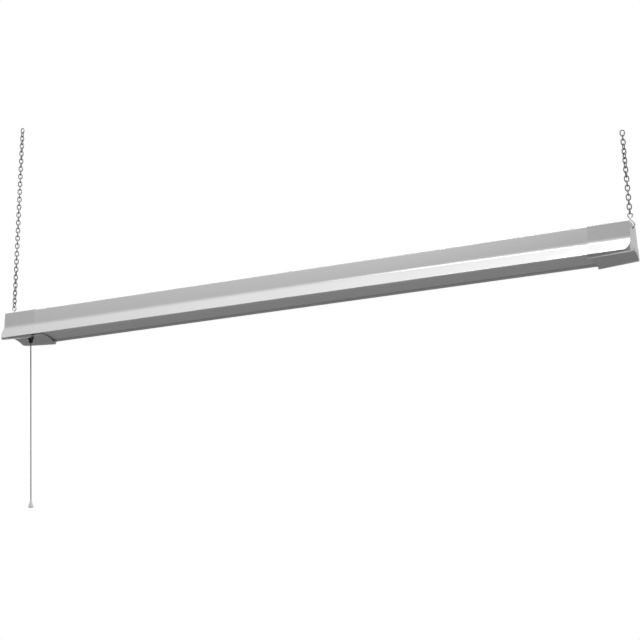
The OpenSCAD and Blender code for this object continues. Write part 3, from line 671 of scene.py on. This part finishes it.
def hang_cord():
    """Three strands laid round one another; one twist is made and repeated."""
    deselect()
    twist_length = CORD_LENGTH / CORD_TWISTS * MM
    bpy.ops.mesh.primitive_circle_add(vertices=12, radius=CORD_DIAMETER / 2 * MM, location=CORD_TOP)
    cord = started("cord")
    bpy.ops.object.mode_set(mode="EDIT")

    def in_groove(at):
        turn = math.degrees(math.atan2(at.y - CORD_TOP.y, at.x - CORD_TOP.x)) % 120
        return min(turn, 120 - turn) < 5

    pick(cord, "VERT", in_groove)
    bpy.ops.transform.resize(value=(0.66, 0.66, 1), center_override=CORD_TOP)
    bpy.ops.mesh.select_all(action="SELECT")
    at = CORD_TOP.copy()
    for _ in range(TWIST_STEPS):
        step = Vector((0, 0, -twist_length / TWIST_STEPS))
        bpy.ops.mesh.extrude_edges_move(TRANSFORM_OT_translate={"value": step})
        at += step
        bpy.ops.transform.rotate(value=math.radians(120 / TWIST_STEPS), orient_axis="Z", center_override=at)
    bpy.ops.object.mode_set(mode="OBJECT")
    add_modifier(
        cord, "ARRAY", count=CORD_TWISTS, use_relative_offset=False, use_constant_offset=True,
        constant_offset_displace=(0, 0, -twist_length), use_merge_vertices=True, merge_threshold=2e-6)
    close_ends(cord)
    outward(cord)
    smooth(cord, 60)
    return cord


BELL_TOP = CORD_TOP.z - CORD_LENGTH * MM
bell_z = (BELL_TOP - LIP_Z) / MM
bell = turned("cord_bell", CORD_X, 0, [
    (1.3, bell_z), (1.9, bell_z - 0.1), (2.2, bell_z - 0.5), (2.2, bell_z - 1.6), (2.05, bell_z - 2.0),
    (2.3, bell_z - 2.5), (2.8, bell_z - 4.2), (3.5, bell_z - 6.4), (4.15, bell_z - 8.6),
    (4.6, bell_z - 10.4), (4.8, bell_z - 11.4), (4.8, bell_z - 12.2), (4.6, bell_z - 12.8),
    (4.2, bell_z - 13), (3.8, bell_z - 12.8), (3.6, bell_z - 12), (3.0, bell_z - 9),
    (1.6, bell_z - 7), (0.2, bell_z - 6.8)], sides=40)
finished(bell, "bell_white", "pull", "pull_bell")
cord = hang_cord()
finished(cord, "cord_grey", "pull", "pull_cord")


# ---------------------------------------------------------------- housing

FOLD_CUT = 4.4
LIP_FLAT = 3
RETURN_W = 3
RETURN_H = 2.6
CEILING_HOLE_X = 203.2
INLET_X = -490


def mirrored_line(half):
    """The other half of a section added to a half that ends near the middle."""
    return half + [(-y, z) for y, z in reversed(half)]


def sheet_half():
    """Outside of the folded sheet, from the return inside the lip to the top."""
    return [
        (LIP_HW - LIP_FLAT - RETURN_W, RETURN_H),
        *eased((LIP_HW - LIP_FLAT - RETURN_W, RETURN_H), (LIP_HW - LIP_FLAT, 0), (LIP_HW, 0), 0.8, 3),
        *eased((LIP_HW - LIP_FLAT, 0), (LIP_HW, 0), (WALL_HW, WALL_H), 0.9, 4),
        *eased((LIP_HW, 0), (WALL_HW, WALL_H), (TOP_HW, TOP_H), FOLD_CUT, 8),
        *eased((WALL_HW, WALL_H), (TOP_HW, TOP_H), (0, TOP_H), 1.3, 4),
    ]


def fold_housing():
    """One folded sheet, with its holes for the ceiling screws and the supply."""
    housing = drawn(
        "housing_sheet", [place(HOUSING_LOW.x / MM, y, z) for y, z in mirrored_line(sheet_half())])
    bpy.ops.mesh.extrude_region_move(
        TRANSFORM_OT_translate={"value": (HOUSING_HIGH.x - HOUSING_LOW.x, 0, 0)})
    outward(housing)
    add_modifier(housing, "SOLIDIFY", thickness=SHEET_T * MM, offset=-1, use_even_offset=True)
    for x, radius in ((-CEILING_HOLE_X, 2.5), (CEILING_HOLE_X, 2.5), (INLET_X, 7.15)):
        cut(housing, pillar("hole_cutter", x, 0, radius, TOP_H - 5, TOP_H + 5))
    smooth(housing, 30)
    return housing


housing = fold_housing()
finished(housing, "housing", "fixture", "housing_shell")


# ---------------------------------------------------------------- diffuser

DIFFUSER_HW = 40.4
DIFFUSER_X = 546
DIFFUSER_Z = 3.35
DIFFUSER_RISE = 6.2
DIFFUSER_T = 1.5
DIFFUSER_STEPS = 32

under = arch(DIFFUSER_HW, DIFFUSER_Z, DIFFUSER_RISE, DIFFUSER_STEPS)
over = [(y, z + DIFFUSER_T) for y, z in reversed(under)]
diffuser = bar("arched_diffuser", under + over, -DIFFUSER_X, DIFFUSER_X)
smooth(diffuser, 40)
finished(diffuser, "diffuser", "fixture", "diffuser")


# ---------------------------------------------------------------- end caps

CAP_X = CAP_LOW.x / MM
CAP_END_T = 2.5
CAP_RIM_Z = -5.5
CAP_END_RIM_Z = -1.2
CAP_RISE = 12
CAP_FLOOR_T = 2
CAP_RIM_IN = 40.52
CAP_RIM_OUT = 45.02
CAP_LIP_HW = 47.52
CAP_WALL = (30.16, 22.46)
CAP_TOP = (27.09, 53.2)
CAP_CORNER_R = 12
CAP_CORNER_T = 1.2
CAP_EDGE = 0.25
CAP_LIP_T = 0.9
RIM_SETBACK = 1.2
GROOVE_UP = 2.6
GROOVE_H = 0.9
GROOVE_DEEP = 0.9
HOOK_HOLE_R = 2.6
HOOK_HOLE_Z = 45.5
SWITCH_X = CORD_X
PAD_R = 8
PAD_Z = 5.9
PAD_TOP_Z = 8.9
NOZZLE_HOLE_R = 4.65


def cap_outline():
    """Section of a cap, with rims under its lips and an arched floor between them."""
    lip = (CAP_LIP_HW, 0)
    rim = (CAP_RIM_OUT - RIM_SETBACK, CAP_RIM_Z)
    half = [
        *eased((CAP_RIM_IN, CAP_RIM_Z), rim, (rim[0], -CAP_LIP_T), 0.9, 3),
        (rim[0], -CAP_LIP_T),
        (CAP_LIP_HW - 0.8, -CAP_LIP_T),
        *eased((CAP_LIP_HW - 0.8, -CAP_LIP_T), lip, CAP_WALL, 0.5, 3),
        *eased(lip, CAP_WALL, CAP_TOP, FOLD_CUT + 0.4, 8),
        *eased(CAP_WALL, CAP_TOP, (0, CAP_TOP[1]), 1.8, 5),
    ]
    return arch(CAP_RIM_IN, CAP_RIM_Z, CAP_RISE, 24) + mirrored_line(half)


def cap_room():
    """Room inside a cap: the sheet's outline over the cap's floor."""
    floor_line = [(y, max(z, 0)) for y, z in arch(CAP_RIM_IN, CAP_RIM_Z + CAP_FLOOR_T, CAP_RISE, 24)]
    return floor_line + mirrored_line(sheet_half()[5:])


def below_rims():
    """Cutter under the rims, which rise towards the outer end."""
    deselect()
    bpy.ops.mesh.primitive_cube_add(size=1, location=place(CAP_X, 0, CAP_RIM_Z - 5))
    bpy.context.object.scale = (2 * MM, 110 * MM, 10 * MM)
    wedge = started("rim_wedge")
    slope = (CAP_END_RIM_Z - CAP_RIM_Z) / (HALF_LENGTH - CAP_X)
    bpy.ops.object.mode_set(mode="EDIT")
    pick(wedge, "FACE", lambda middle, normal: normal.x > 0.9)
    bpy.ops.transform.translate(value=((HALF_LENGTH - CAP_X) * MM, 0, 0))
    upper = height(CAP_RIM_Z - 1)
    pick(
        wedge, "EDGE",
        lambda middle, way: middle.x > CAP_HIGH.x and middle.z > upper and abs(way.y) > 0.9)
    bpy.ops.transform.translate(value=(0, 0, slope * (HALF_LENGTH + 1 - CAP_X) * MM))
    pick(
        wedge, "EDGE",
        lambda middle, way: middle.x < CAP_LOW.x and middle.z > upper and abs(way.y) > 0.9)
    bpy.ops.transform.translate(value=(0, 0, -slope * MM))
    bpy.ops.object.mode_set(mode="OBJECT")
    return wedge


def cap_plan(name, inset):
    """Block with the cap's plan, drawn in by the inset, with its outer corners rounded."""
    deselect()
    bpy.ops.mesh.primitive_cube_add(size=1, location=place(CAP_X + 20, 0, 24))
    length = HALF_LENGTH - inset - CAP_X - 20
    bpy.context.object.scale = (2 * length * MM, 2 * (CAP_LIP_HW - inset) * MM, 100 * MM)
    plan = started(name)
    bpy.ops.object.mode_set(mode="EDIT")
    pick(plan, "EDGE", lambda middle, way: abs(way.z) > 0.9 and middle.x > CAP_HIGH.x - (inset + 1) * MM)
    bpy.ops.mesh.bevel(offset=(CAP_CORNER_R - inset) * MM, segments=14, affect="EDGES")
    bpy.ops.object.mode_set(mode="OBJECT")
    return plan


def mould_cap():
    """Right cap: a closed bar, trimmed to its plan and hollowed from the inner end."""
    cap = bar("right_cap", cap_outline(), CAP_X, HALF_LENGTH)
    cut(cap, cap_plan("cap_plan", 0), "INTERSECT")
    room = bar("cap_room", cap_room(), CAP_X - 5, HALF_LENGTH - CAP_END_T)
    cut(room, cap_plan("room_plan", CAP_CORNER_T), "INTERSECT")
    cut(cap, room)
    deselect()
    bpy.ops.mesh.primitive_cylinder_add(
        vertices=24, radius=HOOK_HOLE_R * MM, depth=20 * MM, rotation=(0, math.pi / 2, 0),
        location=place(HALF_LENGTH - CAP_END_T, 0, HOOK_HOLE_Z))
    cut(cap, started("hook_hole"))
    cut(cap, below_rims())
    line = arch(CAP_RIM_IN, CAP_RIM_Z + GROOVE_UP, CAP_RISE, 24)
    low = [(y, z) for y, z in line if z > CAP_END_RIM_Z + GROOVE_UP]
    high = [(y, z + GROOVE_H) for y, z in reversed(low)]
    cut(cap, bar("end_groove", low + high, HALF_LENGTH - GROOVE_DEEP, HALF_LENGTH + 5))
    return cap


right_cap = mould_cap()
left_cap = copied(right_cap, Matrix.Scale(-1, 4, (1, 0, 0)))
left_cap.name = left_cap.data.name = "left_cap"
outward(left_cap)
cut(left_cap, pillar("switch_pad", SWITCH_X, 0, PAD_R, PAD_Z, PAD_TOP_Z), "UNION")
cut(left_cap, pillar("nozzle_hole", SWITCH_X, 0, NOZZLE_HOLE_R, PAD_Z - 5, PAD_TOP_Z + 5))
for cap, node in ((right_cap, "right_end_cap"), (left_cap, "left_end_cap")):
    add_modifier(
        cap, "BEVEL", width=CAP_EDGE * MM, segments=2, limit_method="ANGLE",
        angle_limit=math.radians(35), use_clamp_overlap=False)
    smooth(cap, 40)
    add_modifier(cap, "WEIGHTED_NORMAL", weight=100, keep_sharp=True)
    finished(cap, "cap_plastic", "fixture", node)


# ---------------------------------------------------------------- screws, inlet and switch

for node, name, width, slot in (
    ("cap_screws", "cap_screw_heads", 0.4, "zinc"),
    ("top_screws", "top_screw_heads", 0.4, "zinc"),
    ("inlet_bushing", "supply_bushing", 0.5, "black_plastic"),
):
    finished(softened(node, name, width), slot, "fixture", node)

NOZZLE_R = 4.5
NOZZLE_Z = -6.5
THREAD_PITCH = 1.0
THREAD_DEPTH = 0.4


def thread_outline():
    """Outside of the nozzle from its top down: thread crests and roots."""
    outline = [(NOZZLE_R, PAD_TOP_Z)]
    z = PAD_Z - 4.5
    while z > NOZZLE_Z + THREAD_PITCH:
        outline += [
            (NOZZLE_R, z), (NOZZLE_R, z - 0.3 * THREAD_PITCH),
            (NOZZLE_R - THREAD_DEPTH, z - 0.55 * THREAD_PITCH),
            (NOZZLE_R - THREAD_DEPTH, z - 0.75 * THREAD_PITCH),
        ]
        z -= THREAD_PITCH
    return outline + [
        (NOZZLE_R, z), (NOZZLE_R, NOZZLE_Z + 0.4), (NOZZLE_R - 0.4, NOZZLE_Z),
        (2.6, NOZZLE_Z), (2.3, NOZZLE_Z + 0.3), (2.3, NOZZLE_Z + 6)]


nozzle = turned("switch_ferrule", SWITCH_X, 0, thread_outline(), sides=32)
finished(nozzle, "dark_steel", "fixture", "switch_nozzle")
finished(softened("switch_nut", "ferrule_nut", 0.4), "dark_steel", "fixture", "switch_nut")
finished(softened("pull_plunger", "plunger", 0.45), "dark_steel", "pull", "pull_plunger")


# ---------------------------------------------------------------- hooks

HOOK_WIRE = 2.4
HOOK_Z = 46.3
HOOK_X = HALF_LENGTH - CAP_END_T / 2
HOOK_BOW_R = 4.8
HOOK_EYE_R = 4
HOOK_SLANT = 125
HOOK_SHANK = 14.7
BOW_INSIDE = 60
EYE_PAST = 65


def hook_place(middle, radius, turn):
    """Place on an arc in the hook's plane, with the turn measured up from outwards."""
    a = math.radians(turn)
    return (middle[0] + radius * math.cos(a), middle[1] + radius * math.sin(a))


BOW_MIDDLE = (HOOK_X, HOOK_Z + HOOK_BOW_R)
SHANK_START = hook_place(BOW_MIDDLE, HOOK_BOW_R, HOOK_SLANT - 90)
SHANK_END = hook_place(SHANK_START, HOOK_SHANK, HOOK_SLANT)
EYE_MIDDLE = hook_place(SHANK_END, HOOK_EYE_R, HOOK_SLANT - 90)


def wire_ring(name, at, way, diameter, sides=12):
    """First ring of a wire, facing the way it starts."""
    deselect()
    bpy.ops.mesh.primitive_circle_add(
        vertices=sides, radius=diameter / 2 * MM, location=at,
        rotation=way.to_track_quat("Z", "Y").to_euler())
    wire = started(name)
    bpy.ops.object.mode_set(mode="EDIT")
    bpy.ops.mesh.select_all(action="SELECT")
    return wire


def round_off(wire, end, way, radius):
    """Rounds the flat end of a wire."""
    bpy.ops.object.mode_set(mode="EDIT")
    pick(wire, "FACE", lambda middle, normal: (middle - end).length < 0.02 * MM and len(normal) == 3)
    for forward, grow in ((0.35, 0.88), (0.25, 0.62)):
        bpy.ops.mesh.extrude_region_move(TRANSFORM_OT_translate={"value": way * forward * radius})
        end = end + way * forward * radius
        bpy.ops.transform.resize(value=(grow, grow, grow), center_override=end)
    bpy.ops.object.mode_set(mode="OBJECT")


def bend_hook():
    """Right hook: a bow through the end wall, a slanted shank and an eye."""
    first = hook_place(BOW_MIDDLE, HOOK_BOW_R, -90 - BOW_INSIDE)
    first_way = Vector((math.cos(math.radians(-BOW_INSIDE)), 0, math.sin(math.radians(-BOW_INSIDE))))
    wire = wire_ring("right_wire_hook", place(first[0], 0, first[1]), first_way, HOOK_WIRE)
    bpy.ops.mesh.spin(
        steps=18, angle=math.radians(BOW_INSIDE + HOOK_SLANT), axis=(0, 1, 0),
        center=place(BOW_MIDDLE[0], 0, BOW_MIDDLE[1]))
    shank = place(SHANK_END[0], 0, SHANK_END[1]) - place(SHANK_START[0], 0, SHANK_START[1])
    bpy.ops.mesh.extrude_edges_move(TRANSFORM_OT_translate={"value": shank})
    bpy.ops.mesh.spin(
        steps=26, angle=math.radians(HOOK_SLANT + 90 + EYE_PAST), axis=(0, -1, 0),
        center=place(EYE_MIDDLE[0], 0, EYE_MIDDLE[1]))
    bpy.ops.object.mode_set(mode="OBJECT")
    close_ends(wire)
    outward(wire)
    last = hook_place(EYE_MIDDLE, HOOK_EYE_R, -EYE_PAST)
    last_turn = math.radians(-EYE_PAST - 90)
    round_off(wire, place(first[0], 0, first[1]), -first_way, HOOK_WIRE / 2 * MM)
    last_way = Vector((math.cos(last_turn), 0, math.sin(last_turn)))
    round_off(wire, place(last[0], 0, last[1]), last_way, HOOK_WIRE / 2 * MM)
    smooth(wire, 60)
    return wire


right_wire = bend_hook()
left_wire = copied(right_wire, Matrix.Scale(-1, 4, (1, 0, 0)))
left_wire.name = left_wire.data.name = "left_wire_hook"
outward(left_wire)
finished(right_wire, "zinc", "chains", "right_hook")
finished(left_wire, "zinc", "chains", "left_hook")


# ---------------------------------------------------------------- chains

LINK_WIRE = 2.1
LINK_BOW_R = 3.45
LINK_SIDE = 3.5
LINK_PITCH = 8.0
LINK_BASE = 5.2
CHAIN_TWIST = 42
# side, end, lean in degrees, number of links, where the twist gathers
CHAINS = ((-1, "left", 3, 46, 1), (1, "right", 0, 18, 2))
LINK_SEAT = HOOK_EYE_R - HOOK_WIRE / 2 - 0.3 - LINK_WIRE / 2


def forge_link():
    """One link round its own middle, in the plane across the light, with its weld."""
    start = Vector((LINK_BOW_R * MM, 0, -LINK_SIDE / 2 * MM))
    link = wire_ring("link", start, Vector((0, 0, 1)), LINK_WIRE, sides=10)
    at = start.copy()
    for up, grow in ((0.32, 1.0), (0.1, 1.13), (0.16, 1.0), (0.1, 1 / 1.13), (0.32, 1.0)):
        bpy.ops.mesh.extrude_edges_move(TRANSFORM_OT_translate={"value": (0, 0, up * LINK_SIDE * MM)})
        at.z += up * LINK_SIDE * MM
        bpy.ops.transform.resize(value=(grow, grow, 1), center_override=at)
    bpy.ops.mesh.spin(steps=8, angle=math.pi, axis=(0, 1, 0), center=(0, 0, LINK_SIDE / 2 * MM))
    bpy.ops.mesh.extrude_edges_move(TRANSFORM_OT_translate={"value": (0, 0, -LINK_SIDE * MM)})
    bpy.ops.mesh.spin(steps=8, angle=math.pi, axis=(0, 1, 0), center=(0, 0, -LINK_SIDE / 2 * MM))
    bpy.ops.object.mode_set(mode="OBJECT")
    activate(link)
    bpy.ops.object.mode_set(mode="EDIT")
    bpy.ops.mesh.select_all(action="SELECT")
    bpy.ops.mesh.remove_doubles(threshold=2e-5)
    bpy.ops.object.mode_set(mode="OBJECT")
    outward(link)
    smooth(link, 60)
    return link


def hang_links(link, name, side, lean, links, bias, indices):
    """Copies of the link in their places up a chain, turned as the chain is twisted."""
    seat = place(side * EYE_MIDDLE[0], 0, EYE_MIDDLE[1] + LINK_SEAT)
    copies = []
    for i in indices:
        twist = CHAIN_TWIST * math.sin(math.pi * (i / (links - 1)) ** bias) + (90 if i % 2 == 0 else 0)
        where = (
            Matrix.Translation(seat)
            @ Matrix.Rotation(math.radians(-side * lean), 4, "Y")
            @ Matrix.Translation((0, 0, (LINK_BASE + i * LINK_PITCH) * MM))
            @ Matrix.Rotation(math.radians(twist), 4, "Z")
        )
        copies.append(copied(link, where))
    return joined(copies, name)


link = forge_link()
for side, end, lean, links, bias in CHAINS:
    for name, node, body, indices in (
        ("edge_links", "chain_edge_links", "chains", range(0, links, 2)),
        ("face_links", "chain_face_links", "chains", range(1, links - 1, 2)),
        ("hanging_link", "top_link", "ceiling_links", [links - 1]),
    ):
        piece = hang_links(link, f"{end}_{name}", side, lean, links, bias, indices)
        finished(piece, "chain_steel", body, f"{end}_{node}")
activate(link)
bpy.ops.object.delete()
